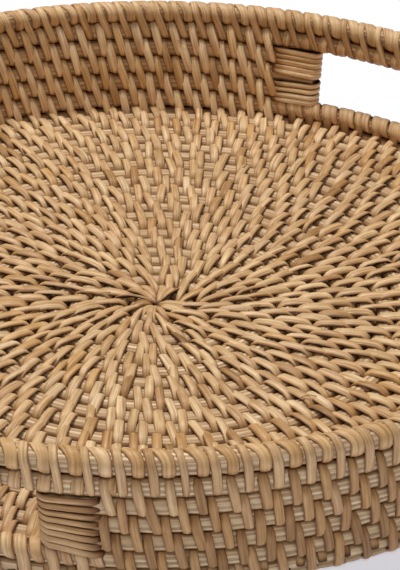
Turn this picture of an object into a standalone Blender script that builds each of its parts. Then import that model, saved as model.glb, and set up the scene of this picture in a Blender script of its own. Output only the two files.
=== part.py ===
"""A round tray basket of coiled rattan, with a hand opening through its wall on two sides.

The basket is a stack of stout cane coils sewn to each other. Each coil is one closed solid,
swept along its own centre line, and neighbouring coils keep a gap of COIL_GAP.

Units are metres. +Z is up and the basket stands on z = 0. The origin is the middle of its
footprint. +X runs from the left hand opening to the right one.
"""

import math

import bmesh
import bpy
from mathutils import Vector

# The weave
COIL_PITCH = 0.00833  # from one lap of the floor coil to the next
COIL_GAP = 0.0003  # free space between neighbouring solids
WALL_PITCH = 0.00845  # from one wall coil up to the next
WALL_LEAN = 0.00129  # how far each wall coil stands outside the one below
COIL_HALF_WIDTH = 0.00466  # a sewn coil from its middle to its inner or outer face
COIL_HALF_HEIGHT = (WALL_PITCH - COIL_GAP) / 2
COIL_CORNER = 0.0019  # cut off each corner of a wall coil's section

# The floor
FLOOR_THICKNESS = 0.0095
FLOOR_SHOULDER = 0.0062  # height at which a floor coil starts to narrow to its top
FLOOR_TOP_SHARE = 0.6  # width of its top against its foot
EDGE_RADIUS = 0.18795  # centre line of the floor's edge coil, which carries the wall
EDGE_LAP = 22  # laps from the middle of the spiral to the edge coil
SPIRAL_START = (-0.0032, -0.0042)  # the spiral is begun a little off the tray's middle
SEAM_ANGLE = math.radians(124.7)  # each lap is counted from here, and the last one ends here
SEAM_LENGTH = 0.15  # share of a lap in which each outer lap makes room for the next
NESTING_LAPS = (12.0, 20.0)  # between these laps the spiral turns into rings round the edge
FIRST_LAP = 1.0
LAST_HALF_WIDTH = 0.0006  # the coil tapers to this where it ends
KNOT_STEPS = 12  # sides of the bent-over end of the cane that the spiral winds round
KNOT_END = 0.8  # how far its last side runs towards the end face of the coil
KNOT_TOP = 0.75  # size of its top against its foot

# The wall, in coils counted up from the edge coil
SILL_COURSE = 1
LOWER_COURSE = 2
MIDDLE_COURSE = 3
UPPER_COURSE = 4
GRIP_COURSE = 5
EDGE_HEIGHT = FLOOR_THICKNESS / 2

# The rim, a stouter coil on top of the grip coil
RIM_RADIUS = 0.1950
RIM_RISE = 0.00904  # from the grip coil's centre line up to the rim's
RIM_HALF_WIDTH = 0.0050
RIM_CORNER = 0.0021

# The hand openings
OPENING_HALF_ANGLE = math.radians(16.5)
OPENING_SKEW = math.radians(6.5)  # both openings sit this far off the X axis, towards -Y
BINDING_ANGLE = math.radians(6.6)  # the bound end of the wall beside an opening
BINDING_HALF_WIDTH = 0.0055
BINDING_NOSE_HALF_WIDTH = 0.0036  # at the rounded end that faces the opening
BINDING_CORNER = 0.0012
# Share of the binding's length from the opening, and how much of its full width it has there
BINDING_PROFILE = ((0.0, 0.0), (0.12, 0.7), (0.3, 1.0), (0.7, 1.0), (1.0, 0.75))

FULL_TURN = 2 * math.pi
RING_STEPS = 48  # segments in one lap of an outer coil
INNER_LAP_STEPS = ((7.0, 12), (14.0, 24))  # fewer segments up to these laps of the spiral

RATTAN = (0.62, 0.43, 0.25)
RATTAN_DARK = (0.50, 0.33, 0.18)
RATTAN_PALE = (0.72, 0.55, 0.35)
RATTAN_ROUGHNESS = 0.55


def smoothstep(low, high, value):
    share = min(max((value - low) / (high - low), 0.0), 1.0)
    return share * share * (3 - 2 * share)


def octagon(half_width, half_height, corner):
    """A rectangle with its corners cut off, as (outward, up) pairs about the centre line."""
    return [
        (half_width, -half_height + corner),
        (half_width, half_height - corner),
        (half_width - corner, half_height),
        (-half_width + corner, half_height),
        (-half_width, half_height - corner),
        (-half_width, -half_height + corner),
        (-half_width + corner, -half_height),
        (half_width - corner, -half_height),
    ]


def floor_section(half_width):
    """A floor coil: flat below, where it meets the table, and narrower on top."""
    top = half_width * FLOOR_TOP_SHARE
    half = FLOOR_THICKNESS / 2
    shoulder = FLOOR_SHOULDER - half
    return [
        (half_width, -half),
        (half_width, shoulder),
        (top, half),
        (-top, half),
        (-half_width, shoulder),
        (-half_width, -half),
    ]


def ring_point(angle, radius, height, outward, up, centre=(0.0, 0.0)):
    """The point at outward and up from a centre line of this radius and height."""
    x = centre[0] + (radius + outward) * math.cos(angle)
    y = centre[1] + (radius + outward) * math.sin(angle)
    return (x, y, height + up)


def rattan_material(name, colour):
    material = bpy.data.materials.new(name)
    material.use_nodes = True
    shader = material.node_tree.nodes["Principled BSDF"]
    shader.inputs["Base Color"].default_value = (*colour, 1.0)
    shader.inputs["Roughness"].default_value = RATTAN_ROUGHNESS
    shader.inputs["Metallic"].default_value = 0.0
    material.diffuse_color = (*colour, 1.0)
    return material


def sweep(name, sections, closed, colour):
    """A solid through these sections, each a list of points. An open one is capped."""
    mesh = bpy.data.meshes.new(name)
    shape = bmesh.new()
    loops = [[shape.verts.new(point) for point in section] for section in sections]
    sides = len(loops[0])
    following = loops[1:] + loops[:1] if closed else loops[1:]
    for here, there in zip(loops, following):
        for i in range(sides):
            j = (i + 1) % sides
            shape.faces.new((here[i], here[j], there[j], there[i]))
    if not closed:
        shape.faces.new(reversed(loops[0]))
        shape.faces.new(loops[-1])
    bmesh.ops.recalc_face_normals(shape, faces=shape.faces)
    shape.to_mesh(mesh)
    shape.free()
    for face in mesh.polygons:
        face.use_smooth = True
    solid = bpy.data.objects.new(name, mesh)
    bpy.context.scene.collection.objects.link(solid)
    mesh.materials.append(rattan_material(name, colour))
    return solid


def spiral_angle(laps):
    return SEAM_ANGLE + FULL_TURN * (laps % 1.0)


def edge_distance(angle):
    """From the start of the spiral to the edge coil's centre line, along this angle."""
    along = SPIRAL_START[0] * math.cos(angle) + SPIRAL_START[1] * math.sin(angle)
    across = SPIRAL_START[0] * math.sin(angle) - SPIRAL_START[1] * math.cos(angle)
    return math.sqrt(EDGE_RADIUS ** 2 - across ** 2) - along


def spiral_distance(laps):
    """From the start of the spiral to its centre line, this many laps along it.

    The inner laps are a plain spiral. The outer ones lie parallel to the edge coil, and each
    moves out to the next place in the last part of its lap.
    """
    moved = smoothstep(1.0 - SEAM_LENGTH, 1.0, laps % 1.0)
    places_left = EDGE_LAP - math.floor(laps) - moved
    nested = edge_distance(spiral_angle(laps)) - COIL_PITCH * places_left
    natural = COIL_PITCH * laps
    return natural + (nested - natural) * smoothstep(*NESTING_LAPS, laps)


def outer_face(laps):
    """Where the floor coil meets the next lap, or the edge coil outside its last one."""
    if math.floor(laps) == EDGE_LAP - 1:
        return edge_distance(spiral_angle(laps)) - COIL_PITCH / 2
    return (spiral_distance(laps) + spiral_distance(laps + 1)) / 2


def spiral_station(laps):
    """Distance from the start to the middle of the floor coil, and half of the coil's width."""
    inner = outer_face(laps - 1)
    outer = outer_face(laps)
    return (inner + outer) / 2, (outer - inner - COIL_GAP) / 2


def spiral_laps():
    """Places along the floor coil, in laps, until the edge coil has squeezed it to its end."""
    places = []
    step = 0
    while True:
        laps = FIRST_LAP + step / RING_STEPS
        stride = RING_STEPS
        for end, steps in reversed(INNER_LAP_STEPS):
            if laps < end:
                stride = steps
        if spiral_station(laps)[1] < LAST_HALF_WIDTH:
            return places
        places.append(laps)
        step += RING_STEPS // stride


def floor_spiral():
    sections = []
    for laps in spiral_laps():
        distance, half_width = spiral_station(laps)
        angle = spiral_angle(laps)
        sections.append([
            ring_point(angle, distance, EDGE_HEIGHT, outward, up, SPIRAL_START)
            for outward, up in floor_section(half_width)
        ])
    sweep("floor_spiral_coil", sections, False, RATTAN_PALE)


def centre_knot():
    """The start of the cane, bent over so that it fills the space inside the first lap."""
    outline = []
    for i in range(KNOT_STEPS + 1):
        angle = SEAM_ANGLE + FULL_TURN * i / KNOT_STEPS
        distance = COIL_PITCH * (FIRST_LAP + i / KNOT_STEPS - 0.5) - COIL_GAP / 2
        outline.append(Vector((distance * math.cos(angle), distance * math.sin(angle))))
    outline[-1] = outline[-2].lerp(outline[-1], KNOT_END)
    sections = []
    for height, size in ((0.0, 1.0), (FLOOR_SHOULDER, 1.0), (FLOOR_THICKNESS, KNOT_TOP)):
        sections.append([
            (SPIRAL_START[0] + size * point.x, SPIRAL_START[1] + size * point.y, height)
            for point in outline
        ])
    sweep("centre_knot", sections, False, RATTAN_DARK)


def edge_coil():
    """The outermost lap of the floor, a closed ring that is parallel to the spiral's last lap."""
    section = octagon((COIL_PITCH - COIL_GAP) / 2, COIL_HALF_HEIGHT, COIL_CORNER)
    drop = EDGE_HEIGHT - COIL_HALF_HEIGHT
    sections = []
    for i in range(RING_STEPS):
        angle = SEAM_ANGLE + FULL_TURN * i / RING_STEPS
        loop = []
        for outward, up in section:
            down_to_table = drop if up < 0 else 0.0
            loop.append(ring_point(
                angle, edge_distance(angle), EDGE_HEIGHT - down_to_table, outward, up, SPIRAL_START))
        sections.append(loop)
    sweep("floor_edge_coil", sections, True, RATTAN)


def course_radius(course):
    return EDGE_RADIUS + WALL_LEAN * course


def course_height(course):
    return EDGE_HEIGHT + WALL_PITCH * course


def wall_coil(name, course, start, end, closed, colour):
    """One course of the wall from start to end, or all the way round if closed."""
    section = octagon(COIL_HALF_WIDTH, COIL_HALF_HEIGHT, COIL_CORNER)
    steps = max(1, round(RING_STEPS * (end - start) / FULL_TURN))
    sections = []
    for i in range(steps if closed else steps + 1):
        angle = start + (end - start) * i / steps
        sections.append([
            ring_point(angle, course_radius(course), course_height(course), outward, up)
            for outward, up in section
        ])
    sweep(name, sections, closed, colour)


def rim_coil():
    half_height = RIM_RISE - COIL_HALF_HEIGHT - COIL_GAP
    height = course_height(GRIP_COURSE) + RIM_RISE
    sections = []
    for i in range(RING_STEPS):
        angle = FULL_TURN * i / RING_STEPS
        sections.append([
            ring_point(angle, RIM_RADIUS, height, outward, up)
            for outward, up in octagon(RIM_HALF_WIDTH, half_height, RIM_CORNER)
        ])
    sweep("rim_coil", sections, True, RATTAN)


def leaning_section(half_width):
    """The bound wall end between the sill and the grip, leaning as the wall does."""
    middle = course_height(MIDDLE_COURSE)
    half_height = (course_height(UPPER_COURSE) - course_height(LOWER_COURSE)) / 2 + COIL_HALF_HEIGHT
    section = []
    for outward, up in octagon(half_width, half_height, BINDING_CORNER):
        lean = up * WALL_LEAN / WALL_PITCH
        section.append((course_radius(MIDDLE_COURSE) + outward + lean, middle + up))
    return section


def binding(name, opening_edge, direction):
    """The bound wall end beside an opening. It runs in direction, +1 or -1, from the opening."""
    sections = []
    for along, fullness in BINDING_PROFILE:
        angle = opening_edge + direction * BINDING_ANGLE * along
        spread = BINDING_HALF_WIDTH - BINDING_NOSE_HALF_WIDTH
        half_width = BINDING_NOSE_HALF_WIDTH + spread * fullness
        sections.append([
            ring_point(angle, radius, height, 0.0, 0.0)
            for radius, height in leaning_section(half_width)
        ])
    sweep(name, sections, False, RATTAN_DARK)


def wall_and_bindings():
    """The three courses that the hand openings cut through, and the bound ends they leave."""
    right = -OPENING_SKEW
    left = math.pi + OPENING_SKEW
    wall_end = OPENING_HALF_ANGLE + BINDING_ANGLE
    gap_angle = COIL_GAP / EDGE_RADIUS
    back = (right + wall_end + gap_angle, left - wall_end - gap_angle)
    front = (left + wall_end + gap_angle, FULL_TURN + right - wall_end - gap_angle)
    courses = (("lower", LOWER_COURSE), ("middle", MIDDLE_COURSE), ("upper", UPPER_COURSE))
    for level, course in courses:
        wall_coil(f"{level}_wall_coil_back", course, *back, False, RATTAN)
        wall_coil(f"{level}_wall_coil_front", course, *front, False, RATTAN)
    binding("right_handle_back_binding", right + OPENING_HALF_ANGLE, 1)
    binding("right_handle_front_binding", right - OPENING_HALF_ANGLE, -1)
    binding("left_handle_back_binding", left - OPENING_HALF_ANGLE, -1)
    binding("left_handle_front_binding", left + OPENING_HALF_ANGLE, 1)


def main():
    for old in list(bpy.data.objects):
        bpy.data.objects.remove(old, do_unlink=True)
    centre_knot()
    floor_spiral()
    edge_coil()
    wall_coil("sill_coil", SILL_COURSE, 0.0, FULL_TURN, True, RATTAN)
    wall_and_bindings()
    wall_coil("grip_coil", GRIP_COURSE, 0.0, FULL_TURN, True, RATTAN)
    rim_coil()


main()
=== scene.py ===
"""The visible surface of a round tray basket of coiled rattan.

Every coil is a bundle of thin reeds, and every stitch, wrap and binding is a strip of split cane
with its own path round the coils. Lengths are in metres, and angles are measured about the
tray's upright axis from +X, counter-clockwise from above.
"""

import math

import bpy
import numpy as np
from mathutils import Matrix, Vector


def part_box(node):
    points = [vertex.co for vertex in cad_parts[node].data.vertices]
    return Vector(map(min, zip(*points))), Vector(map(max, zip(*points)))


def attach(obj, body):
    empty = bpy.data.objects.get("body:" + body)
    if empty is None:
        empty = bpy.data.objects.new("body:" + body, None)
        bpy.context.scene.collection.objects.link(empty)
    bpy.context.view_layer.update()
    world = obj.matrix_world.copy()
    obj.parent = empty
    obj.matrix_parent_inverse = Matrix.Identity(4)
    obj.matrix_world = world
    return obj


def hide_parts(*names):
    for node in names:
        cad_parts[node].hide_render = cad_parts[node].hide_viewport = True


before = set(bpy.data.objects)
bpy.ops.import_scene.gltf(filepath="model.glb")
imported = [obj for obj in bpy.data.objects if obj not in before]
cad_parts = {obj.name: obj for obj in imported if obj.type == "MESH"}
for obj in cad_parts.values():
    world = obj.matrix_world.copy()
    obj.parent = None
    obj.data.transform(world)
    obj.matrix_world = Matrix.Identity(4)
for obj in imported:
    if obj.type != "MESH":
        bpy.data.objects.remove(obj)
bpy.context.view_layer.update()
random = np.random.default_rng(20)
FULL_TURN = 2 * math.pi

# The coils, as the solid model lays them out
COIL_PITCH = 0.00833
SPIRAL_START = np.array((-0.0032, -0.0042))
SEAM_ANGLE = math.radians(124.7)
SEAM_LENGTH = 0.15
EDGE_LAP = 22
NESTING_LAPS = (12.0, 20.0)
COIL_HALF_WIDTH = 0.00466
RIM_HALF_WIDTH = 0.0050
OPENING_HALF_ANGLE = math.radians(16.5)
OPENING_SKEW = math.radians(6.5)
BINDING_ANGLE = math.radians(6.6)
RIGHT_OPENING = -OPENING_SKEW
LEFT_OPENING = math.pi + OPENING_SKEW
BINDING_END = OPENING_HALF_ANGLE + BINDING_ANGLE  # from the middle of an opening

EDGE, SILL, LOWER, MIDDLE, UPPER, GRIP, RIM = range(7)

# The cane
CORE_RADIUS = 0.41 * COIL_PITCH  # the bundle of reeds inside each coil
RIM_CORE_RADIUS = 0.0040
CORE_STEP = 0.004  # between a core's points
STRIP_THICKNESS = 0.145 * COIL_PITCH
FLOOR_STRIP_THICKNESS = 0.165 * COIL_PITCH
WALL_STRIP_THICKNESS = 0.17 * COIL_PITCH
FLOOR_STRIP_WIDTH = 0.49 * COIL_PITCH
INNER_STRIP_WIDTH = 0.50 * COIL_PITCH
OUTER_STRIP_WIDTH = 0.45 * COIL_PITCH
# A strip's section: half widths across, thicknesses up, and brightness, which is painted shade that
# darkens its sides and underside
STRIP_SECTION = np.array([
    (-1.00, 0.22, 0.26),
    (-0.76, 0.80, 0.95),
    (0.00, 1.00, 1.00),
    (0.76, 0.80, 0.95),
    (1.00, 0.22, 0.26),
    (0.85, 0.00, 0.06),
    (-0.85, 0.00, 0.06),
])

# The weave
STITCH_ARCH = 0.09 * COIL_PITCH
FLOOR_PERIOD = 1.17 * COIL_PITCH  # from one stitch to the next in its row
CENTRE_PERIOD = 0.86 * COIL_PITCH  # the same in the first row, where they crowd together
FLOOR_LEAN = 0.11  # sideways run of a floor stitch for its run outwards
FLOOR_ROW_SHIFT = (0.40 + FLOOR_LEAN) * COIL_PITCH  # how far round each row starts beyond the last
FLOOR_STRAY = 0.055  # how far a stitch strays from its place in the row, in coil pitches
FLOOR_LEAN_SPREAD = 0.08
CENTRE_SWIRL = 0.22  # more lean in the first rows
SWIRL_LAPS = (1.0, 6.0)  # where it fades out
WALL_STITCHES = 122
WALL_ROW_SHIFT = 0.52 * COIL_PITCH  # how far round each row starts beyond the row above it
INNER_LEAN = 0.26
OUTER_LEAN = 0.18
OUTSIDE_OFFSET = -0.18 * COIL_PITCH  # from each stitch inside to one outside
FRONT_ANGLE = math.radians(-145.3)  # towards the camera; the wall's stitches are widest apart here
WALL_SPACING_SWING = 0.07


def coil_from(solid, half_width):
    """Radius and height of a ring's centre line, from the box of its solid."""
    low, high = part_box(solid)
    return high[0] - half_width, (low[2] + high[2]) / 2


floor_low, floor_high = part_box("floor_spiral_coil")
FLOOR_HEIGHT = (floor_low[2] + floor_high[2]) / 2
sill = coil_from("sill_coil", COIL_HALF_WIDTH)
grip = coil_from("grip_coil", COIL_HALF_WIDTH)
rim = coil_from("rim_coil", RIM_HALF_WIDTH)
course_step = ((grip[0] - sill[0]) / (GRIP - SILL), (grip[1] - sill[1]) / (GRIP - SILL))
COURSES = [
    (sill[0] + course_step[0] * (course - SILL), sill[1] + course_step[1] * (course - SILL))
    for course in range(RIM)
]
COURSES.append(rim)
EDGE_RADIUS = COURSES[EDGE][0]


def smoothstep(low, high, value):
    share = np.clip((value - low) / (high - low), 0.0, 1.0)
    return share * share * (3 - 2 * share)


def spiral_angle(laps):
    return SEAM_ANGLE + FULL_TURN * (laps % 1.0)


def edge_distance(angle):
    """From the start of the spiral to the edge coil's centre line."""
    along = SPIRAL_START[0] * np.cos(angle) + SPIRAL_START[1] * np.sin(angle)
    across = SPIRAL_START[0] * np.sin(angle) - SPIRAL_START[1] * np.cos(angle)
    return np.sqrt(EDGE_RADIUS ** 2 - across ** 2) - along


def spiral_distance(laps):
    """From the start of the spiral to its centre line. The last laps nest against the edge coil."""
    moved = smoothstep(1.0 - SEAM_LENGTH, 1.0, laps % 1.0)
    nested = edge_distance(spiral_angle(laps)) - COIL_PITCH * (EDGE_LAP - np.floor(laps) - moved)
    natural = COIL_PITCH * laps
    return natural + (nested - natural) * smoothstep(*NESTING_LAPS, laps)


def outer_face(laps):
    """From the start of the spiral to where its coil meets the next one out."""
    beside_edge = edge_distance(spiral_angle(laps)) - COIL_PITCH / 2
    between = (spiral_distance(laps) + spiral_distance(laps + 1)) / 2
    return np.where(np.floor(laps) == EDGE_LAP - 1, beside_edge, between)


def floor_coil(laps):
    """Distance of the floor coil from the start of the spiral, and its half width."""
    inner, outer = outer_face(laps - 1), outer_face(laps)
    on_edge = np.floor(laps) >= EDGE_LAP
    distance = np.where(on_edge, edge_distance(spiral_angle(laps)), (inner + outer) / 2)
    return distance, np.where(on_edge, COIL_PITCH / 2, (outer - inner) / 2)


# ---------------------------------------------------------------- meshes

SHARP_ANGLE = math.radians(62)  # edges sharper than this aren't shaded smooth
UP = np.array((0.0, 0.0, 1.0))

# A strip of cane
END_TAPER = 0.12  # share of its width that a strip loses at its ends
TAPER_RANGE = (0.0, 0.2)  # distances from an end over which it tapers, as shares of its length
END_SHADE = 0.08  # brightness of a strip where it dives between two coils
END_SHADE_RANGE = (0.02, 0.17)  # and where it brightens, as shares of its length
UNDERSIDE_PLACE = 1.2  # counts as beyond the edge, so that the underside shows pith
PATTERN_LENGTH = 5.0  # strips take their fibres from anywhere along a cane of this length

# A coil's bundle of reeds
REED_SIDES = 26
REED_GROOVE = 0.045  # depth of the grooves between reeds, in core radii
REED_UNEVENNESS = 0.02
SQUARENESS = 0.78  # the bundle is pressed a little square by its neighbours
GROOVE_SHADE = 0.30  # how much darker a groove is than the reeds beside it
CREVICE_SHADE = 0.03  # brightness of a core where it meets the next one
CREVICE_DEPTH = 1.5  # how steeply it darkens towards there
# Painted shade: a wall core's inner face takes the darker, warmer end of its palette, for the shade and
# bounced light inside the wall
WEATHERING_AND_SHADE = 0.65  # how far a wall core's tone depends on the face that it shows

# Where a coil's neighbours lie, in degrees: 0 is outwards and 90 up
SIDE_BY_SIDE = (0, 180)
STACKED = (90, 270)
ON_TOP = (270,)

# The first points of a stitch lie round the first coil, down in the gap before it. These are
# their angles from the coil's top, and the last points repeat them round the second coil.
ENTRY = np.radians((84.0, 58.0, 30.0, 8.0))


def unit(vectors):
    return vectors / np.maximum(np.linalg.norm(vectors, axis=-1, keepdims=True), 1e-12)


def distance_along(path):
    """The distance of each point of path (..., m, 3) from its first one."""
    steps = np.linalg.norm(np.diff(path, axis=-2), axis=-1)
    return np.concatenate([np.zeros_like(steps[..., :1]), np.cumsum(steps, axis=-1)], axis=-1)


def make_object(name, points, faces, attributes, material):
    mesh = bpy.data.meshes.new(name)
    mesh.from_pydata(points.tolist(), [], faces)
    for key, values in attributes.items():
        layer = mesh.attributes.new(key, "FLOAT_VECTOR", "POINT")
        layer.data.foreach_set("vector", np.ascontiguousarray(values, dtype=np.float32).ravel())
    mesh.polygons.foreach_set("use_smooth", [True] * len(mesh.polygons))
    mesh.set_sharp_from_angle(angle=SHARP_ANGLE)
    mesh.materials.append(material)
    piece = bpy.data.objects.new(name, mesh)
    bpy.context.scene.collection.objects.link(piece)
    return piece


def tube_faces(count, rings, sides, closed):
    """Faces of count tubes of rings x sides points. An open tube gets a cap at each end."""
    ring = np.arange(rings if closed else rings - 1)
    side = np.arange(sides)
    here = ring[:, None] * sides + side
    there = ((ring + 1) % rings)[:, None] * sides + side
    beside = np.roll(side, -1)
    quads = np.stack([here, here[:, beside], there[:, beside], there], axis=-1).reshape(-1, 4)
    starts = np.arange(count) * rings * sides
    faces = (starts[:, None, None] + quads).reshape(-1, 4).tolist()
    if not closed:
        first = side[::-1]
        last = (rings - 1) * sides + side
        faces += (starts[:, None] + first).tolist()
        faces += (starts[:, None] + last).tolist()
    return faces


def strips(name, path, normal, width, tone, material, thickness=STRIP_THICKNESS, roll=None):
    """Strips of cane. path (n, m, 3) is the underside's middle line, and width fits (n, m)."""
    count, steps, _ = path.shape
    tangent = unit(np.gradient(path, axis=1))
    across = unit(np.cross(normal, tangent))
    up = np.cross(tangent, across)
    if roll is not None:
        cos, sin = np.cos(roll)[:, None, None], np.sin(roll)[:, None, None]
        across, up = across * cos + up * sin, up * cos - across * sin
    along = np.linspace(0.0, 1.0, steps)
    end = np.minimum(along, 1.0 - along)
    taper = 1.0 - END_TAPER * (1.0 - smoothstep(*TAPER_RANGE, end))
    half = (np.broadcast_to(width, (count, steps)) * taper / 2)[:, :, None, None]
    side, rise = STRIP_SECTION[:, 0][:, None], STRIP_SECTION[:, 1][:, None]
    points = path[:, :, None] + across[:, :, None] * side * half + up[:, :, None] * rise * thickness
    sides = len(STRIP_SECTION)
    cane = np.zeros((count, steps, sides, 3))
    cane[..., 0] = distance_along(path)[:, :, None] + random.uniform(0, PATTERN_LENGTH, (count, 1, 1))
    cane[..., 1] = STRIP_SECTION[:, 0] * half[..., 0]
    cane[..., 2] = np.where(STRIP_SECTION[:, 1] > 0, STRIP_SECTION[:, 0], UNDERSIDE_PLACE)
    tones = np.tile(tone[:, None, None], (1, steps, sides, 1))
    # Painted shade: darker towards the ends, where a strip dives between two coils, and on its sides
    # and underside
    tones[..., 1] *= (END_SHADE + (1.0 - END_SHADE) * smoothstep(*END_SHADE_RANGE, end))[:, None]
    tones[..., 1] *= STRIP_SECTION[:, 2]
    faces = tube_faces(count, steps, sides, False)
    attributes = {"cane": cane.reshape(-1, 3), "tone": tones.reshape(-1, 3)}
    return make_object(name, points.reshape(-1, 3), faces, attributes, material)


def core(name, path, outward, radius_out, radius_up, closed, material, neighbours):
    """A coil's bundle of reeds along path (m, 3). The radii are (m,) or plain numbers."""
    steps = len(path)
    turn = np.arange(REED_SIDES) * FULL_TURN / REED_SIDES
    ripple = 1.0 - REED_GROOVE * (np.arange(REED_SIDES) % 2)
    uneven = 1.0 + REED_UNEVENNESS * random.standard_normal(REED_SIDES)
    cos = np.sign(np.cos(turn)) * np.abs(np.cos(turn)) ** SQUARENESS
    sin = np.sign(np.sin(turn)) * np.abs(np.sin(turn)) ** SQUARENESS
    wide = (np.broadcast_to(radius_out, steps)[:, None] * cos * ripple * uneven)[..., None]
    high = (np.broadcast_to(radius_up, steps)[:, None] * sin * ripple * uneven)[..., None]
    points = path[:, None] + outward[:, None] * wide + UP * high
    cane = np.zeros((steps, REED_SIDES, 3))
    cane[..., 0] = distance_along(path)[:, None]
    cane[..., 1] = turn * CORE_RADIUS
    tone = np.zeros((steps, REED_SIDES, 3))
    tone[..., 0] = random.uniform(0, 1, REED_SIDES)
    if neighbours != SIDE_BY_SIDE:
        # Pale and weathered on the outside of the wall; darker and warmer on the inside, which is
        # painted shade and bounced light
        tone[..., 0] = (1.0 - WEATHERING_AND_SHADE) * tone[..., 0] + WEATHERING_AND_SHADE * (np.cos(turn) < 0)
    # Painted shade: darker in the grooves between reeds and towards the crevices where the neighbouring
    # coils lie
    open_side = np.ones(REED_SIDES)
    for degrees in neighbours:
        nearness = np.maximum(np.cos(turn - math.radians(degrees)), 0.0)
        open_side = np.minimum(open_side, np.sqrt(1.0 - nearness ** 2))
    grooved = 1.0 - GROOVE_SHADE * (np.arange(REED_SIDES) % 2)
    tone[..., 1] = grooved * (CREVICE_SHADE + (1.0 - CREVICE_SHADE) * open_side ** CREVICE_DEPTH)
    faces = tube_faces(1, steps, REED_SIDES, closed)
    attributes = {"cane": cane.reshape(-1, 3), "tone": tone.reshape(-1, 3)}
    return make_object(name, points.reshape(-1, 3), faces, attributes, material)


def turned(angle, radius, height, out, up, slide, centre=(0.0, 0.0)):
    """Paths and normals in space, from arrays (n, m) in the upright plane through the axis.

    slide moves a point along its circle, counter-clockwise, in metres.
    """
    phi = angle[:, None] + slide / np.maximum(radius, COIL_PITCH / 2)
    cos, sin = np.cos(phi), np.sin(phi)
    path = np.stack([centre[0] + radius * cos, centre[1] + radius * sin, height + 0 * phi], axis=-1)
    normal = np.stack([out * cos, out * sin, up + 0 * phi], axis=-1)
    return path, normal


def over_two_coils(first, second, side, arch=STITCH_ARCH):
    """The line of a stitch over two coils, from the gap before the first to the gap after.

    first and second are (radius, height) arrays, side +1 or -1 says on which face it lies.
    arch is how far it bulges off the coils in its middle. Returns radius, height, the normal's
    two parts and the run from first to second, all (n, m).
    """
    radius_1, height_1 = (np.asarray(v, dtype=float)[:, None] for v in first)
    radius_2, height_2 = (np.asarray(v, dtype=float)[:, None] for v in second)
    span = np.hypot(radius_2 - radius_1, height_2 - height_1)
    along_r, along_z = (radius_2 - radius_1) / span, (height_2 - height_1) / span
    face_r, face_z = -along_z * side, along_r * side
    sin, cos = np.sin(ENTRY), np.cos(ENTRY)
    run = np.concatenate([
        -CORE_RADIUS * sin + 0 * span,
        span / 2,
        span + CORE_RADIUS * sin[::-1],
    ], axis=1)
    lean_back = np.concatenate([-sin, [0.0], sin[::-1]])
    stand_up = np.concatenate([cos, [1.0], cos[::-1]])
    rise = CORE_RADIUS * stand_up + arch * (1.0 - np.sqrt(np.abs(lean_back[::-1])))
    radius = radius_1 + along_r * run + face_r * rise
    height = height_1 + along_z * run + face_z * rise
    out = along_r * lean_back + face_r * stand_up
    up = along_z * lean_back + face_z * stand_up
    return radius, height, out, up, run


# ---------------------------------------------------------------- materials

PATCHES_ALONG = 160.0  # for each metre of cane
PATCHES_ACROSS = 260.0
PATCH_STRENGTH = 0.36
GLOSS_VARIETY = 0.22
SPECULAR = 0.35
FIBRE_DEPTH = 0.0006
# Light that reaches a crevice has bounced between canes, so the shade there is warm: green and
# blue fade faster than red, by these powers of the brightness.
GREEN_FADE = 1.38
BLUE_FADE = 1.85
# The cut sides of a strip show the pale pith under its skin
CUT_PLACE = 0.80  # where its skin ends, in half widths
CUT_SOFTNESS = 0.5
CUT_CONTRAST = 5.0
PITH_COLOUR = (0.66, 0.48, 0.29, 1.0)


def node(tree, kind, inputs=(), **settings):
    made = tree.nodes.new(kind)
    for key, value in settings.items():
        setattr(made, key, value)
    for key, value in dict(inputs).items():
        if isinstance(value, bpy.types.NodeSocket):
            tree.links.new(value, made.inputs[key])
        else:
            made.inputs[key].default_value = value
    return made


def maths(tree, operation, *values, clamp=False):
    inputs = dict(enumerate(values))
    return node(tree, "ShaderNodeMath", inputs, operation=operation, use_clamp=clamp).outputs[0]


def vary(tree, pattern, strength, middle=1.0):
    """A value that swings to both sides of middle with a pattern whose own middle is a half."""
    return maths(tree, "MULTIPLY_ADD", pattern, strength, middle - strength / 2)


def noise_texture(tree, place, **settings):
    return node(tree, "ShaderNodeTexNoise", {"Vector": place, "Scale": 1.0, **settings}).outputs["Fac"]


def mix_colour(tree, blend, factor, first, second):
    made = node(tree, "ShaderNodeMix", data_type="RGBA", blend_type=blend)
    for place, value in ((0, factor), (6, first), (7, second)):
        if isinstance(value, bpy.types.NodeSocket):
            tree.links.new(value, made.inputs[place])
        else:
            made.inputs[place].default_value = value
    return made.outputs[2]


def ramp(tree, factor, stops):
    made = node(tree, "ShaderNodeValToRGB", {"Fac": factor})
    elements = made.color_ramp.elements
    while len(elements) < len(stops):
        elements.new(0.5)
    for element, (place, colour) in zip(elements, stops):
        element.position = place
        element.color = (*colour, 1.0)
    return made.outputs["Color"]


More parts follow.
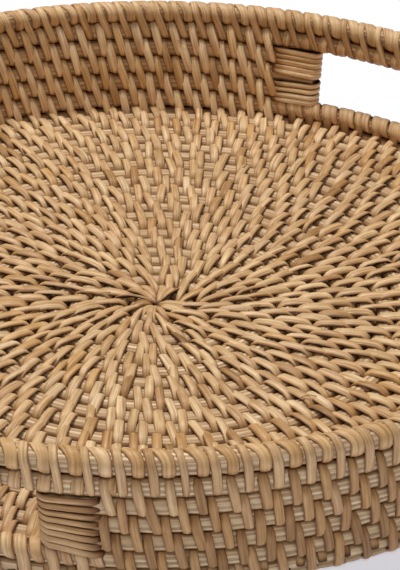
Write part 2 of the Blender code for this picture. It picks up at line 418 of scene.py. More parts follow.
def cane_material(name, palette, streak, edge, roughness, groove, fibres_across, fibres_along):
    """Cane or reed. palette runs over the strand's tone, and fibres are counted for each metre.

    streak is the strength of the fibres' colour, and edge that of the pith on the cut sides.
    """
    material = bpy.data.materials.new(name)
    material.use_nodes = True
    tree = material.node_tree
    shader = tree.nodes["Principled BSDF"]
    tone = node(tree, "ShaderNodeAttribute", attribute_name="tone").outputs["Vector"]
    tones = node(tree, "ShaderNodeSeparateXYZ", {0: tone}).outputs
    place = node(tree, "ShaderNodeAttribute", attribute_name="cane").outputs["Vector"]
    places = node(tree, "ShaderNodeSeparateXYZ", {0: place}).outputs

    base = ramp(tree, tones[0], palette)
    along = maths(tree, "MULTIPLY", places[0], fibres_along)
    across = maths(tree, "MULTIPLY", places[1], fibres_across)
    fibre_place = node(tree, "ShaderNodeCombineXYZ", {0: along, 1: across, 2: tones[2]}).outputs[0]
    fibres = noise_texture(tree, fibre_place, Detail=3.0, Roughness=0.6)
    along = maths(tree, "MULTIPLY", places[0], PATCHES_ALONG)
    across = maths(tree, "MULTIPLY", places[1], PATCHES_ACROSS)
    patch_place = node(tree, "ShaderNodeCombineXYZ", {0: along, 1: across, 2: tones[2]}).outputs[0]
    patches = noise_texture(tree, patch_place, Detail=2.0)

    shade = maths(tree, "MULTIPLY", vary(tree, fibres, streak), vary(tree, patches, PATCH_STRENGTH))
    # The tone's brightness carries painted shade and light from the meshes, as well as each strand's
    # own brightness
    level = maths(tree, "MAXIMUM", maths(tree, "MULTIPLY", shade, tones[1]), 0.0)
    green = maths(tree, "POWER", level, GREEN_FADE)
    blue = maths(tree, "POWER", level, BLUE_FADE)
    levels = node(tree, "ShaderNodeCombineColor", {0: level, 1: green, 2: blue}).outputs[0]
    body = mix_colour(tree, "MULTIPLY", 1.0, base, levels)

    past_skin = maths(tree, "SUBTRACT", maths(tree, "ABSOLUTE", places[2]), CUT_PLACE)
    softened = maths(tree, "SMOOTH_MAX", past_skin, 0.0, CUT_SOFTNESS)
    cut = maths(tree, "MULTIPLY", softened, CUT_CONTRAST, clamp=True)
    colour = mix_colour(tree, "MIX", maths(tree, "MULTIPLY", cut, edge), body, PITH_COLOUR)
    tree.links.new(colour, shader.inputs["Base Color"])

    tree.links.new(vary(tree, patches, GLOSS_VARIETY, roughness), shader.inputs["Roughness"])
    shader.inputs["Specular IOR Level"].default_value = SPECULAR
    bump = node(tree, "ShaderNodeBump", {"Height": fibres, "Strength": groove, "Distance": FIBRE_DEPTH})
    tree.links.new(bump.outputs[0], shader.inputs["Normal"])
    return material


CANE_PALETTE = [
    (0.00, (0.74, 0.500, 0.275)),
    (0.25, (0.71, 0.455, 0.220)),
    (0.45, (0.67, 0.415, 0.210)),
    (0.60, (0.63, 0.360, 0.140)),
    (0.76, (0.52, 0.290, 0.120)),
    (0.90, (0.40, 0.210, 0.075)),
    (1.00, (0.26, 0.130, 0.045)),
]
REED_PALETTE = [
    (0.0, (0.80, 0.590, 0.365)),
    (0.5, (0.72, 0.505, 0.295)),
    (1.0, (0.60, 0.395, 0.210)),
]
# Its darker, warmer end is painted on the inner face of the wall as shade and bounced light
WALL_REED_PALETTE = [
    (0.0, (0.98, 0.770, 0.500)),
    (0.3, (0.84, 0.620, 0.370)),
    (0.7, (0.80, 0.530, 0.290)),
    (1.0, (0.70, 0.440, 0.225)),
]
REED = {"edge": 0.0, "roughness": 0.62, "groove": 0.9, "fibres_across": 1300.0, "fibres_along": 16.0}
cane = cane_material(
    "split_cane", CANE_PALETTE, streak=1.45, edge=0.10, roughness=0.44, groove=1.0,
    fibres_across=1050.0, fibres_along=45.0,
)
reed = cane_material("core_reed", REED_PALETTE, streak=1.7, **REED)
wall_reed = cane_material("wall_core_reed", WALL_REED_PALETTE, streak=1.9, **REED)

# A strand's tone is its place in the palette. Most strands are pale, and a few are brown.
BROWNEST_STRAND = 0.85
STRAND_TONE_CURVE = (1.5, 2.8)  # of a beta distribution
STRAND_BRIGHTNESS_SPREAD = 0.05
STRIP_TONE_SPREAD = 0.07
STRIP_BRIGHTNESS_SPREAD = 0.04
ODD_STRIPS = 0.05  # share of strips that are golden or brown among pale ones
ODD_TONES = (0.60, 0.92)
PATTERN_RANGE = 50.0  # how far apart the strips' noise patterns may lie
STRAND_RUN = 11  # how many stitches one strand makes, more or less


def strand_tones(count, mean_run=STRAND_RUN):
    """Palette place, brightness and a random number for each stitch. One strand of cane makes
    a run of stitches, so they share its colour."""
    tones = np.zeros((count, 3))
    start = 0
    while start < count:
        run = int(random.integers(mean_run // 2, mean_run * 2))
        tones[start:start + run, 0] = BROWNEST_STRAND * random.beta(*STRAND_TONE_CURVE)
        tones[start:start + run, 1] = random.normal(1.0, STRAND_BRIGHTNESS_SPREAD)
        start += run
    tones[:, 0] = np.clip(tones[:, 0] + random.normal(0, STRIP_TONE_SPREAD, count), 0, 1)
    odd = random.random(count) < ODD_STRIPS
    tones[odd, 0] = random.uniform(*ODD_TONES, np.count_nonzero(odd))
    tones[:, 1] += random.normal(0, STRIP_BRIGHTNESS_SPREAD, count)
    tones[:, 2] = random.uniform(0, PATTERN_RANGE, count)
    return tones


def finish_piece(piece, slot, *replaced):
    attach(piece, "root")
    if replaced:
        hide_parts(*replaced)


# ---------------------------------------------------------------- floor

# How the stitches of a row find their places
ROW_REACH = 0.95  # where the row's spacing is measured, in coil pitches beyond its lap
SPREADING_LAPS = (1.0, 13.0)  # where CENTRE_PERIOD grows into FLOOR_PERIOD
GAP_CHOICE = (0.9, 1.1)  # keeps new stitches from lining up
SETTLING_STEPS = 5  # in which the neighbours of a new stitch make room for it
SETTLING_SHARE = 0.4

# The strips of the rows
FLOOR_WIDTH_SPREAD = 0.07
FLOOR_ROLL_SPREAD = 0.17
UNDERSIDE_WIDTH = 0.95  # of the width on top

# The strips that radiate from the middle
CENTRE_STITCHES = 14
CENTRE_STRAY = 0.3  # share of the angle between two
CENTRE_START = (0.0, 0.42)  # how far from the middle they start, in coil pitches
CENTRE_END = (0.6, 1.1)  # how far beyond the first coil's middle they end, in core radii
CENTRE_SWING = 0.45  # how far round their outer ends have swung, in coil pitches
CENTRE_SWING_SPREAD = 0.20
CENTRE_LAYERS = (0.0, 1.1)  # how high they lie over each other, in strip thicknesses
CENTRE_RISE = (0.10, 0.90)  # share of the arch where they start, and how much of it they follow
CENTRE_SLOPE = -0.4  # how much the arch's slope tips their faces
CENTRE_WIDTH = 0.85 * COIL_PITCH
CENTRE_NARROWEST = 0.30  # share of CENTRE_WIDTH where they start
CENTRE_WIDTH_RANGE = (0.75, 1.05)
CENTRE_ROLL_SPREAD = 0.3
CENTRE_RUN = 3  # how many of them one strand makes, more or less
LINE_POINTS = 9  # along each of them, and along a loose fibre

# The reeds under the floor's stitches
FIRST_CORE_LAP = 0.55
LAST_CORE_GAP = 0.01  # the core stops this much of a lap before the edge coil
THINNEST_CORE = 0.0006
SMALLEST_CORE_REACH = 0.008  # nearer to the middle, its points lie as close as here
FLOOR_CORE_WIDTH = 0.97  # of the room between its neighbours


def floor_rows():
    """For each row of floor stitches, where they lie, counted in laps from the spiral's start.

    Each row repeats the row inside it a little further round. Where the stitches have spread
    too far apart, one more is put in and its neighbours make room.
    """
    rows = []
    around = np.zeros(1)
    for lap in range(1, EDGE_LAP):
        reach = COIL_PITCH * (lap + ROW_REACH)
        period = CENTRE_PERIOD + (FLOOR_PERIOD - CENTRE_PERIOD) * smoothstep(*SPREADING_LAPS, lap)
        wanted = round(FULL_TURN * reach / period)
        if rows:
            around = np.sort((around + FLOOR_ROW_SHIFT / (FULL_TURN * reach)) % 1.0)
        while len(around) < wanted:
            gaps = np.diff(np.append(around, around[0] + 1.0))
            chosen = int(np.argmax(gaps * random.uniform(*GAP_CHOICE, len(gaps))))
            around = np.sort(np.append(around, around[chosen] + gaps[chosen] / 2) % 1.0)
            for _ in range(SETTLING_STEPS):
                before = np.roll(around, 1) - (np.arange(len(around)) == 0)
                after = np.roll(around, -1) + (np.arange(len(around)) == len(around) - 1)
                around = around + SETTLING_SHARE * ((before + after) / 2 - around)
        rows.append(np.sort(around % 1.0) + lap)
    return rows


def floor_stitches():
    rows = floor_rows()
    laps = np.concatenate(rows)
    following = np.concatenate([np.append(row[1:], row[0] + 1.0) for row in rows])
    count = len(laps)
    angle = spiral_angle(laps) + random.normal(0, FLOOR_STRAY, count) / laps
    inner, _ = floor_coil(laps)
    outer, _ = floor_coil(laps + 1)
    height = np.full(count, FLOOR_HEIGHT)
    radius, z, out, up, run = over_two_coils((inner, height), (outer, height), 1)
    near_centre = (1.0 - smoothstep(*SWIRL_LAPS, laps))[:, None]
    strays = random.normal(0, FLOOR_LEAN_SPREAD, (count, 1)) * (1.0 + near_centre)
    lean = FLOOR_LEAN + CENTRE_SWIRL * near_centre + strays
    path, normal = turned(angle, radius, z, out, up, lean * run, SPIRAL_START)
    period = (following - laps) * FULL_TURN
    widest = radius * period[:, None] / 2
    width = np.minimum(FLOOR_STRIP_WIDTH * random.normal(1.0, FLOOR_WIDTH_SPREAD, (count, 1)), widest)
    tones = strand_tones(count)
    rolls = random.normal(0, FLOOR_ROLL_SPREAD, count)
    top = strips("floor_stitches", path, normal, width, tones, cane, FLOOR_STRIP_THICKNESS, rolls)
    finish_piece(top, "floor_cane")

    # Below, each stitch runs back in from its outer end to where the next one begins.
    middle = angle + period / 2
    back_lean = FLOOR_LEAN - period[:, None] * inner[:, None] / (outer - inner)[:, None]
    radius, z, out, up, run = over_two_coils((inner, height), (outer, height), -1, 0.0)
    slide = back_lean * (run - COIL_PITCH / 2)
    path, normal = turned(middle, radius, z, out, up, slide, SPIRAL_START)
    under = strips("floor_underside_stitches", path, normal, width * UNDERSIDE_WIDTH, tones, cane)
    finish_piece(under, "floor_cane")


def centre_stitches():
    """The strips that radiate from the hole in the middle of the floor, over the first lap."""
    count = CENTRE_STITCHES
    strays = random.uniform(-CENTRE_STRAY, CENTRE_STRAY, count)
    angle = SEAM_ANGLE + (np.arange(count) + strays) * FULL_TURN / count
    laps = 1.0 + ((angle - SEAM_ANGLE) / FULL_TURN) % 1.0
    end, _ = floor_coil(laps)
    share = np.linspace(0.0, 1.0, LINE_POINTS)
    start = COIL_PITCH * random.uniform(*CENTRE_START, count)
    reach = end + CORE_RADIUS * random.uniform(*CENTRE_END, count) - start
    radius = start[:, None] + reach[:, None] * share
    arch = np.sqrt(np.sin(np.pi * (CENTRE_RISE[0] + CENTRE_RISE[1] * share)))
    swing = CENTRE_SWING_SPREAD * random.standard_normal((count, 1))
    swirl = COIL_PITCH * (CENTRE_SWING * share ** 2 + swing * share)
    layer = STRIP_THICKNESS * random.uniform(*CENTRE_LAYERS, (count, 1))
    for side, layers, name, replaced in (
        (1, layer, "centre_stitches", ["centre_knot"]),
        (-1, 0, "centre_underside_stitches", []),
    ):
        z = FLOOR_HEIGHT + side * (CORE_RADIUS * arch + layers) + 0 * radius
        out = CENTRE_SLOPE * np.gradient(arch, share) + 0 * radius
        path, normal = turned(angle, radius, z, out, side + 0 * radius, swirl * side, SPIRAL_START)
        width = np.minimum(FLOOR_STRIP_WIDTH, CENTRE_WIDTH * (CENTRE_NARROWEST + share))
        widths = width * random.uniform(*CENTRE_WIDTH_RANGE, (count, 1))
        tones = strand_tones(count, CENTRE_RUN)
        rolls = random.normal(0, CENTRE_ROLL_SPREAD, count)
        piece = strips(name, path, normal, widths, tones, cane, roll=rolls)
        finish_piece(piece, "knot_cane", *replaced)


def floor_core():
    laps = [FIRST_CORE_LAP]
    while laps[-1] < EDGE_LAP - LAST_CORE_GAP:
        reach = max(COIL_PITCH * laps[-1], SMALLEST_CORE_REACH)
        laps.append(laps[-1] + CORE_STEP / (FULL_TURN * reach))
    laps = np.array(laps)
    distance, half_width = floor_coil(laps)
    keep = half_width > THINNEST_CORE
    laps, distance, half_width = laps[keep], distance[keep], half_width[keep]
    angle = spiral_angle(laps)
    outward = np.stack([np.cos(angle), np.sin(angle), 0 * angle], axis=-1)
    path = np.append(SPIRAL_START, FLOOR_HEIGHT) + outward * distance[:, None]
    wide = half_width * FLOOR_CORE_WIDTH
    piece = core("floor_core", path, outward, wide, CORE_RADIUS, False, reed, SIDE_BY_SIDE)
    finish_piece(piece, "floor_cane", "floor_spiral_coil")


# ---------------------------------------------------------------- wall

# Half heights of the reeds in the wall's coils, and where they lie
WALL_CORE_RISE = 0.505 * course_step[1]  # wall coils are pulled down until they touch
WALL_CORE_UNEVENNESS = 0.05  # but not everywhere, which leaves a pinhole here and there
GRIP_CORE_RISE = 0.0046
RIM_CORE_RISE = 0.0043
OPEN_CORE_RISE = 0.0038  # where a hand opening leaves one side of a coil free, it stays round
OPEN_CORE_SHIFT = 0.0004  # and lies closer to the coil on its other side
OPEN_CORE_FADE = (-0.01, 0.02)  # where that ends, in radians beyond the end of an opening
CUT_INSET = 0.01  # how far inside the bindings the cut coils end, in radians

# The wall's stitches
WALL_STRAY = 0.03 * COIL_PITCH
WALL_LEAN_SPREAD = 0.05
WALL_WIDTH_SPREAD = 0.06
WALL_ROLL_SPREAD = 0.06
# How much browner each row is painted than its strands, by its upper coil, inside (1) and outside (-1):
# painted shade and bounced light, deeper in the lower rows
ROW_PAINTED_SHADE = {
    1: {GRIP: 0.12, UPPER: 0.20, MIDDLE: 0.22, LOWER: 0.30, SILL: 0.28},
    -1: {GRIP: 0.15, UPPER: 0.20, MIDDLE: 0.22, LOWER: 0.38, SILL: 0.24},
}
BROWNEST_STITCH = 0.84  # the brownest place in the palette that a wall stitch may have
# Painted light: wall stitches are painted lighter on the inner face and darker on the outer face, for
# how the light falls on each face
FACE_PAINTED_LIGHT = {1: 1.27, -1: 0.90}


def away_from_openings(angle):
    """How far each angle lies from the middle of the nearer opening."""
    offsets = [
        np.abs((angle - middle + math.pi) % FULL_TURN - math.pi)
        for middle in (RIGHT_OPENING, LEFT_OPENING)
    ]
    return np.minimum(*offsets)


def ring_core(
    name, course, start, end, closed, slot, replaced,
    radius=CORE_RADIUS, rise=WALL_CORE_RISE, material=wall_reed, free_side=0,
):
    """One wall coil's reeds. free_side is where openings free it: 1 above, -1 below, 0 nowhere."""
    ring_radius, height = COURSES[course]
    steps = int((end - start) * ring_radius / CORE_STEP)
    angle = start + (end - start) * np.arange(steps) / (steps if closed else steps - 1)
    past_opening = away_from_openings(angle) - OPENING_HALF_ANGLE
    freed = abs(free_side) * (1.0 - smoothstep(*OPEN_CORE_FADE, past_opening))
    uneven = 1.0 + WALL_CORE_UNEVENNESS * random.standard_normal(steps)
    rise = (rise + (OPEN_CORE_RISE - rise) * freed) * uneven
    outward = np.stack([np.cos(angle), np.sin(angle), 0 * angle], axis=-1)
    path = outward * ring_radius
    path[:, 2] = height - free_side * OPEN_CORE_SHIFT * freed
    neighbours = ON_TOP if course == RIM else STACKED
    piece = core(name, path, outward, radius, rise, closed, material, neighbours)
    finish_piece(piece, slot, replaced)


def wall_cores():
    whole = (0.0, FULL_TURN, True)
    ring_core("edge_core", EDGE, *whole, "wall_cane", "floor_edge_coil")
    ring_core("sill_core", SILL, *whole, "wall_cane", "sill_coil", free_side=1)
    ring_core("grip_core", GRIP, *whole, "wall_cane", "grip_coil", rise=GRIP_CORE_RISE, free_side=-1)
    ring_core(
        "rim_core", RIM, *whole, "rim_cane", "rim_coil",
        radius=RIM_CORE_RADIUS, rise=RIM_CORE_RISE, material=reed,
    )
    cut = OPENING_HALF_ANGLE + CUT_INSET
    back = (RIGHT_OPENING + cut, LEFT_OPENING - cut, False)
    front = (LEFT_OPENING + cut, FULL_TURN + RIGHT_OPENING - cut, False)
    for level, course in (("lower", LOWER), ("middle", MIDDLE), ("upper", UPPER)):
        for half, arc in (("back", back), ("front", front)):
            ring_core(f"{level}_core_{half}", course, *arc, "wall_cane", f"{level}_wall_coil_{half}")


def wall_angles(row):
    """Where the middle of each stitch in a row lies. Rows are counted down from the rim."""
    angle = FULL_TURN * np.arange(WALL_STITCHES) / WALL_STITCHES + WALL_ROW_SHIFT * row / EDGE_RADIUS
    return angle - WALL_SPACING_SWING * np.sin(angle - FRONT_ANGLE - math.pi)


def wall_stitches():
    """Each row of stitches goes round two coils, over the inner face and the outer one."""
    for side, lean, width, name in (
        (1, INNER_LEAN, INNER_STRIP_WIDTH, "wall_stitches_inside"),
        (-1, -OUTER_LEAN, OUTER_STRIP_WIDTH, "wall_stitches_outside"),
    ):
        parts = []
        for upper in range(GRIP, EDGE, -1):
            row = RIM - upper
            angle = wall_angles(row) + random.normal(0, WALL_STRAY, WALL_STITCHES) / EDGE_RADIUS
            if side == -1:
                angle = angle + OUTSIDE_OFFSET / EDGE_RADIUS
            angle = angle[away_from_openings(angle) > BINDING_END]
            count = len(angle)
            low = [np.full(count, v) for v in COURSES[upper - 1]]
            high = [np.full(count, v) for v in COURSES[upper]]
            radius, z, out, up, run = over_two_coils(low, high, side)
            tilt = lean + random.normal(0, WALL_LEAN_SPREAD, (count, 1))
            slide = tilt * (run - COIL_PITCH / 2)
            path, normal = turned(angle, radius, z, out, up, slide)
            tones = strand_tones(count)
            tones[:, 0] = np.clip(tones[:, 0] + ROW_PAINTED_SHADE[side][upper], 0, BROWNEST_STITCH)
            tones[:, 1] *= FACE_PAINTED_LIGHT[side]
            parts.append((path, normal, tones))
        path, normal, tones = (np.concatenate(rows) for rows in zip(*parts))
        wide = width * random.normal(1.0, WALL_WIDTH_SPREAD, (len(path), 1))
        rolls = random.normal(0, WALL_ROLL_SPREAD, len(path))
        piece = strips(name, path, normal, wide, tones, cane, WALL_STRIP_THICKNESS, rolls)
        finish_piece(piece, "wall_cane")


# ---------------------------------------------------------------- wraps

# Runs are how far round a wrap travels along its line
LONG_WRAP_WIDTH = 0.44 * COIL_PITCH
LONG_WRAP_START = -0.45 * COIL_PITCH
LONG_WRAP_RUN = 1.46 * COIL_PITCH
LONG_WRAP_TURN = (-0.35, 0.85)  # over which shares of its length; it starts hidden in the coils
SHORT_WRAP_WIDTH = 0.59 * COIL_PITCH
SHORT_WRAP_OFFSET = 1.30 * COIL_PITCH  # half way between two long wraps on top of the rim
SHORT_WRAP_RUN = 0.75 * COIL_PITCH
SHORT_WRAP_TURN = (-0.20, 0.22)
GRIP_WRAP_WIDTH = 0.61 * COIL_PITCH
GRIP_WRAP_OFFSET = 0.51 * COIL_PITCH  # half way between two long wraps, inside and outside
GRIP_WRAP_RUN = -0.16 * COIL_PITCH
SILL_WRAP_WIDTH = 0.56 * COIL_PITCH
SILL_WRAP_OFFSET = 0.58 * COIL_PITCH  # from each long wrap of the sill to the short one beside it
SILL_WRAP_RUN = 0.80 * COIL_PITCH
WRAP_STRAY = 0.04 * COIL_PITCH
WRAP_WIDTH_SPREAD = 0.07
WRAP_ROLL_SPREAD = 0.05
WRAP_TONE = 0.38  # the palette place that the wraps' colours crowd round
WRAP_VARIETY = 0.55  # of the variety of the stitches


def outline(*arcs):
    """Points along arcs in the upright plane. Each is (centre, radius, from, to, steps), in
    degrees: 0 is outwards, 90 up and 180 inwards. Returns radius, height and normal."""
    rows = []
    for (centre_radius, centre_height), radius, start, end, steps in arcs:
        for degree in np.linspace(start, end, steps):
            turn = math.radians(degree)
            out, up = math.cos(turn), math.sin(turn)
            rows.append((centre_radius + radius * out, centre_height + radius * up, out, up))
    return np.array(rows).T


def wrap_row(name, slot, angle, line, slide, width):
    """Strips wound along one line in the upright plane, each at its own angle."""
    count = len(angle)
    strays = WRAP_STRAY * random.standard_normal((count, 1))
    radius, height, out, up = (row[None] for row in line)
    path, normal = turned(angle, radius, height, out, up, slide[None] + strays)
    widths = width * random.normal(1.0, WRAP_WIDTH_SPREAD, (count, 1))
    rolls = random.normal(0, WRAP_ROLL_SPREAD, count)
    tones = strand_tones(count)
    tones[:, 0] = WRAP_TONE + WRAP_VARIETY * (tones[:, 0] - WRAP_TONE)
    finish_piece(strips(name, path, normal, widths, tones, cane, roll=rolls), slot)


def round_one_coil(course, radius):
    """The line of a wrap round one coil, closed underneath, with how far along it lies."""
    line = outline((COURSES[course], radius, 280, -80, 17))
    return line, np.linspace(-0.5, 0.5, line.shape[1])


def rim_wraps():
    line = outline(
        (COURSES[GRIP], CORE_RADIUS, 270, 186, 5),
        (COURSES[RIM], RIM_CORE_RADIUS, 196, -16, 11),
        (COURSES[GRIP], CORE_RADIUS, -6, -90, 5),
    )
    length = distance_along(line[:2].T)
    slide = LONG_WRAP_START + LONG_WRAP_RUN * smoothstep(*LONG_WRAP_TURN, length / length[-1])
    angle = wall_angles(0)
    wrap_row("rim_long_wraps", "rim_cane", angle, line, slide, LONG_WRAP_WIDTH)

    line, share = round_one_coil(RIM, RIM_CORE_RADIUS)
    over_the_top = smoothstep(*SHORT_WRAP_TURN, share) - 0.5
    slide = SHORT_WRAP_OFFSET + SHORT_WRAP_RUN * over_the_top
    wrap_row("rim_short_wraps", "rim_cane", angle, line, slide, SHORT_WRAP_WIDTH)


def angles_at_openings(row):
    """The places of a row's stitches that lie at an opening or its bindings."""
    angle = wall_angles(row)
    return angle[away_from_openings(angle) < BINDING_END]


def handle_wraps():
    """Round the grip and the sill, where the openings leave no wall coil to sew them to."""
    angle = angles_at_openings(0)
    line, share = round_one_coil(GRIP, CORE_RADIUS)
    slide = GRIP_WRAP_OFFSET + GRIP_WRAP_RUN * share
    wrap_row("grip_wraps", "wall_cane", angle, line, slide, GRIP_WRAP_WIDTH)

    angle = angles_at_openings(RIM - SILL)
    line = outline(
        (COURSES[EDGE], CORE_RADIUS, 160, 170, 2),
        (COURSES[SILL], CORE_RADIUS, 190, -10, 11),
        (COURSES[EDGE], CORE_RADIUS, 0, -84, 5),
    )
    slide = SILL_WRAP_RUN * np.linspace(-0.5, 0.5, line.shape[1])
    wrap_row("sill_long_wraps", "wall_cane", angle, line, slide, SILL_WRAP_WIDTH)
    line, share = round_one_coil(SILL, CORE_RADIUS)
    slide = SILL_WRAP_OFFSET + SILL_WRAP_RUN * share
    wrap_row("sill_short_wraps", "wall_cane", angle, line, slide, SILL_WRAP_WIDTH)


# ---------------------------------------------------------------- bindings

BINDING_STRIP_WIDTH = 0.0028
BINDING_GAP = 0.0002  # between the wall's coils and the strips round them
BINDING_MARGIN = 0.0006  # from the top of the upper coil to the top of the bindings
BINDING_TOP = COURSES[UPPER][1] + CORE_RADIUS + BINDING_MARGIN
BINDING_REACH = BINDING_ANGLE * EDGE_RADIUS
BINDING_STRAY = 0.00012
BINDING_REACH_SPREAD = 0.02
BINDING_WIDTH_SPREAD = 0.08
BINDING_ROLL = (0.05, 0.10)  # middle and spread
BINDING_RUN = 5  # how many loops one strand makes, more or less

# One side of a loop seen from above, from the opening to its tucked-in end: along the wall in
# shares of BINDING_REACH, and out from the wall's middle in shares of half the loop's thickness
LOOP_ALONG = (0.40, 0.55, 0.70, 0.88, 0.98, 1.02)
LOOP_OUT = (1.0, 1.0, 1.0, 1.02, 0.75, 0.1)
LOOP_OUTER_REACH = 0.94  # of the inner side's
NOSE_ANGLES = (10, 170)  # the round turn at the opening, in degrees
NOSE_POINTS = 9
INNER_CLIMB = (0.05, 0.45)  # shares of a loop over which it changes height inside
OUTER_CLIMB = (0.55, 0.95)

# For each binding, how far below BINDING_TOP each strip lies: where it starts inside, where it
# turns round the end of the wall, and where it ends outside
EVEN = (np.linspace(0.0014, 0.0240, 8), np.linspace(0.0014, 0.0215, 8), np.linspace(0.0016, 0.0265, 8))
PARTED = (
    np.array((0.0004, 0.0030, 0.0055, 0.0084, 0.0108, 0.0166, 0.0192, 0.0218, 0.0245)),
    np.array((0.0012, 0.0036, 0.0062, 0.0090, 0.0118, 0.0160, 0.0187, 0.0215, 0.0243)),
    np.array((0.0014, 0.0042, 0.0072, 0.0100, 0.0130, 0.0160, 0.0190, 0.0220, 0.0248)),
)
# Name, middle of the opening, way round to the binding, strips, and brightness, which is painted light
# for how the light falls on each binding
BINDINGS = (
    ("right_handle_back_binding", RIGHT_OPENING, 1, PARTED, 1.22),
    ("right_handle_front_binding", RIGHT_OPENING, -1, EVEN, 1.0),
    ("left_handle_front_binding", LEFT_OPENING, 1, EVEN, 0.95),
    ("left_handle_back_binding", LEFT_OPENING, -1, PARTED, 1.1),
)


def bindings():
    """Flat cane wound round the ends of the three wall coils beside each opening."""
    depth = CORE_RADIUS + BINDING_GAP
    lean = course_step[0] / course_step[1]
    turn = np.radians(np.linspace(*NOSE_ANGLES, NOSE_POINTS))
    face = BINDING_REACH * np.array(LOOP_ALONG)
    sunk = depth * np.array(LOOP_OUT)
    along = np.concatenate([face[::-1], depth * (1 - np.sin(turn)), LOOP_OUTER_REACH * face])
    out = np.concatenate([-sunk[::-1], -depth * np.cos(turn), sunk])
    stations = np.linspace(0.0, 1.0, len(along))
    for name, middle, direction, (inside, nose, outside), painted_light in BINDINGS:
        count = len(nose)
        edge = middle + direction * OPENING_HALF_ANGLE
        to_nose = smoothstep(*INNER_CLIMB, stations)
        to_end = smoothstep(*OUTER_CLIMB, stations)
        drop = inside[:, None] * (1 - to_nose) + nose[:, None] * (to_nose - to_end)
        drop = drop + outside[:, None] * to_end + random.normal(0, BINDING_STRAY, (count, 1))
        z = BINDING_TOP - drop
        strays = BINDING_REACH * random.normal(0, BINDING_REACH_SPREAD, (count, 1))
        reach = along + strays * (along > BINDING_REACH / 2)
        radius = COURSES[MIDDLE][0] + (z - COURSES[MIDDLE][1]) * lean + out
        phi = edge + direction * reach / EDGE_RADIUS
        path = np.stack([radius * np.cos(phi), radius * np.sin(phi), z], axis=-1)
        step = unit(np.gradient(path, axis=1))
        normal = unit(np.cross(UP, step)) * -direction
        width = BINDING_STRIP_WIDTH * random.normal(1.0, BINDING_WIDTH_SPREAD, (count, 1))
        tones = strand_tones(count, BINDING_RUN)
        # Painted light: each binding is painted lighter or darker for the light that falls on it
        tones[:, 1] *= painted_light
        rolls = random.normal(*BINDING_ROLL, count)
        piece = strips(f"{name}_cane", path, normal, width, tones, cane, roll=rolls)
        finish_piece(piece, "binding_cane", name)


# ---------------------------------------------------------------- loose fibres

# Split ends of cane: angle about the axis in degrees, distance out, height, heading in degrees
# (0 is counter-clockwise, 90 up the wall or outwards over the floor), length, on the wall or not
LOOSE_FIBRES = (
    (87.0, 0.1905, 0.0510, -50.0, 0.0060, True),
    (85.5, 0.1902, 0.0490, 70.0, 0.0045, True),
    (70.0, 0.1885, 0.0410, -62.0, 0.0095, True),
    (66.0, 0.1880, 0.0350, 250.0, 0.0060, True),
    (31.0, 0.1890, 0.0440, 215.0, 0.0070, True),
    (18.0, 0.1880, 0.0330, 100.0, 0.0130, True),
    (19.0, 0.1880, 0.0200, 80.0, 0.0090, True),
    (48.0, 0.1880, 0.0260, -120.0, 0.0060, True),
    (-75.0, 0.0420, 0.0100, 30.0, 0.0070, False),
    (120.0, 0.0180, 0.0103, 60.0, 0.0050, False),
    (15.0, 0.1250, 0.0101, 100.0, 0.0060, False),
    (215.0, 0.1500, 0.0101, 140.0, 0.0070, False),
    (-110.0, 0.1000, 0.0101, 20.0, 0.0060, False),
)
FIBRE_WIDTH = 0.0005
FIBRE_THICKNESS = 0.00025
FIBRE_TAPER = np.linspace(1.2, 0.2, LINE_POINTS)  # of FIBRE_WIDTH
FIBRE_LIFT = 0.12  # how far its middle stands off, as a share of its length
FIBRE_BEND = 0.2  # how far its end may bend aside
FIBRE_TONES = (0.3, 0.9)
FIBRE_RUN = 2


def loose_fibres():
    """A few split ends that stand off the weave."""
    share = np.linspace(0.0, 1.0, LINE_POINTS)
    paths, normals = [], []
    for angle, radius, height, heading, length, on_wall in LOOSE_FIBRES:
        phi, course = math.radians(angle), math.radians(heading)
        out = np.array((math.cos(phi), math.sin(phi), 0.0))
        around = np.array((-math.sin(phi), math.cos(phi), 0.0))
        facing, rising = (-out, UP) if on_wall else (UP, out)
        reach = around * math.cos(course) + rising * math.sin(course)
        bend = np.cross(facing, reach)
        lift = FIBRE_LIFT * length * np.sin(np.pi * share)[:, None]
        curve = random.uniform(-FIBRE_BEND, FIBRE_BEND) * length * (share ** 2)[:, None]
        start = out * radius + UP * height
        paths.append(start + reach * length * share[:, None] + facing * lift + bend * curve)
        normals.append(np.tile(facing, (len(share), 1)))
    count = len(paths)
    tones = strand_tones(count, FIBRE_RUN)
    tones[:, 0] = random.uniform(*FIBRE_TONES, count)
    paths, normals = np.array(paths), np.array(normals)
    width = FIBRE_WIDTH * FIBRE_TAPER
    piece = strips("loose_fibres", paths, normals, width, tones, cane, FIBRE_THICKNESS)
    finish_piece(piece, "wall_cane")


# ---------------------------------------------------------------- studio

CAMERA_DISTANCE = 0.9878  # from the middle of the edge coil's ring
CAMERA_ELEVATION = math.radians(30.129)
CAMERA_YAW = math.radians(1.326)
CAMERA_TILT = math.radians(29.629)
CAMERA_ROLL = math.radians(0.407)
CAMERA_LENS = 147.86  # millimetres, for a sensor 36 mm wide
SENSOR_WIDTH = 36.0
FARTHEST_SEEN = 50.0

STUDIO_SIZE = 6.0  # half the side of the studio's floor
PAPER_COLOUR = (0.56, 0.57, 0.63, 1.0)
PAPER_ROUGHNESS = 0.9
PAPER_GLOW = (0.91, 0.92, 1.0, 1.0)
PAPER_GLOW_STRENGTH = 0.50
FILL_COLOUR = (1.0, 1.0, 1.0, 1.0)
FILL_STRENGTH = 0.13
BACKDROP_COLOUR = (0.93, 0.93, 0.95, 1.0)  # what the camera sees beyond the paper
# Name, place, diameter and power in watts. Each shines on the middle of the tray.
LIGHTS = (
    ("top_softbox", (0.15, 0.40, 1.5), 0.6, 20.0),
    ("front_softbox", (-1.05, -0.80, 1.55), 0.7, 7.6),
)


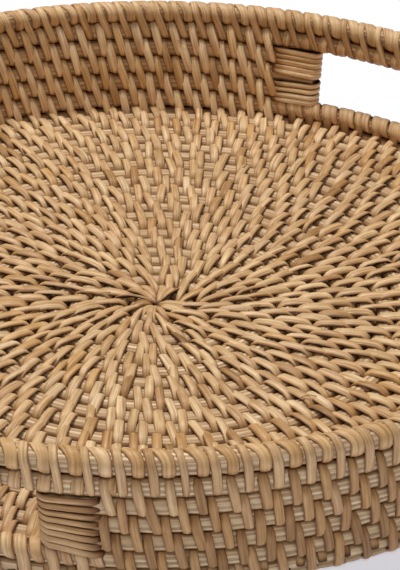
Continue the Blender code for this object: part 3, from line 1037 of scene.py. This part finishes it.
def towards(angle, elevation):
    """The direction that points to an angle about the upright axis and so far above level."""
    return Vector((
        math.cos(angle) * math.cos(elevation),
        math.sin(angle) * math.cos(elevation),
        math.sin(elevation),
    ))


def camera():
    data = bpy.data.cameras.new("camera")
    data.lens = CAMERA_LENS
    data.sensor_width = SENSOR_WIDTH
    data.clip_end = FARTHEST_SEEN
    made = bpy.data.objects.new("camera", data)
    bpy.context.scene.collection.objects.link(made)
    heading = FRONT_ANGLE + math.pi - CAMERA_YAW
    forward = towards(heading, -CAMERA_TILT)
    level = Vector((math.sin(heading), -math.cos(heading), 0.0))
    upright = level.cross(forward)
    right = level * math.cos(CAMERA_ROLL) + upright * math.sin(CAMERA_ROLL)
    up = upright * math.cos(CAMERA_ROLL) - level * math.sin(CAMERA_ROLL)
    place = towards(FRONT_ANGLE, CAMERA_ELEVATION) * CAMERA_DISTANCE
    place.z += COURSES[EDGE][1]
    turn = Matrix((right, up, -forward)).transposed()
    made.matrix_world = Matrix.Translation(place) @ turn.to_4x4()
    bpy.context.scene.camera = made


def area_light(name, place, diameter, power):
    data = bpy.data.lights.new(name, "AREA")
    data.shape = "DISK"
    data.size = diameter
    data.energy = power
    light = bpy.data.objects.new(name, data)
    light.location = place
    light.rotation_euler = (-Vector(place)).to_track_quat("-Z", "Y").to_euler()
    bpy.context.scene.collection.objects.link(light)


def paper():
    """The pale floor under the tray."""
    mesh = bpy.data.meshes.new("studio_floor")
    corners = [(x * STUDIO_SIZE, y * STUDIO_SIZE, 0) for x, y in ((-1, -1), (1, -1), (1, 1), (-1, 1))]
    mesh.from_pydata(corners, [], [(0, 1, 2, 3)])
    ground = bpy.data.objects.new("studio_floor", mesh)
    bpy.context.scene.collection.objects.link(ground)
    material = bpy.data.materials.new("studio_paper")
    material.use_nodes = True
    shader = material.node_tree.nodes["Principled BSDF"]
    shader.inputs["Base Color"].default_value = PAPER_COLOUR
    shader.inputs["Roughness"].default_value = PAPER_ROUGHNESS
    shader.inputs["Emission Color"].default_value = PAPER_GLOW
    shader.inputs["Emission Strength"].default_value = PAPER_GLOW_STRENGTH
    mesh.materials.append(material)


def light_studio():
    world = bpy.data.worlds.new("studio")
    bpy.context.scene.world = world
    world.use_nodes = True
    tree = world.node_tree
    fill = tree.nodes["Background"]
    fill.inputs["Color"].default_value = FILL_COLOUR
    fill.inputs["Strength"].default_value = FILL_STRENGTH
    backdrop = node(tree, "ShaderNodeBackground", {"Color": BACKDROP_COLOUR, "Strength": 1.0})
    seen = node(tree, "ShaderNodeLightPath").outputs["Is Camera Ray"]
    chosen = node(tree, "ShaderNodeMixShader", {0: seen, 1: fill.outputs[0], 2: backdrop.outputs[0]})
    tree.links.new(chosen.outputs[0], tree.nodes["World Output"].inputs["Surface"])
    for name, place, diameter, power in LIGHTS:
        area_light(name, place, diameter, power)
    bpy.context.scene.view_settings.view_transform = "Standard"


camera()
floor_core()
floor_stitches()
centre_stitches()
wall_cores()
wall_stitches()
rim_wraps()
handle_wraps()
bindings()
loose_fibres()
paper()
light_studio()
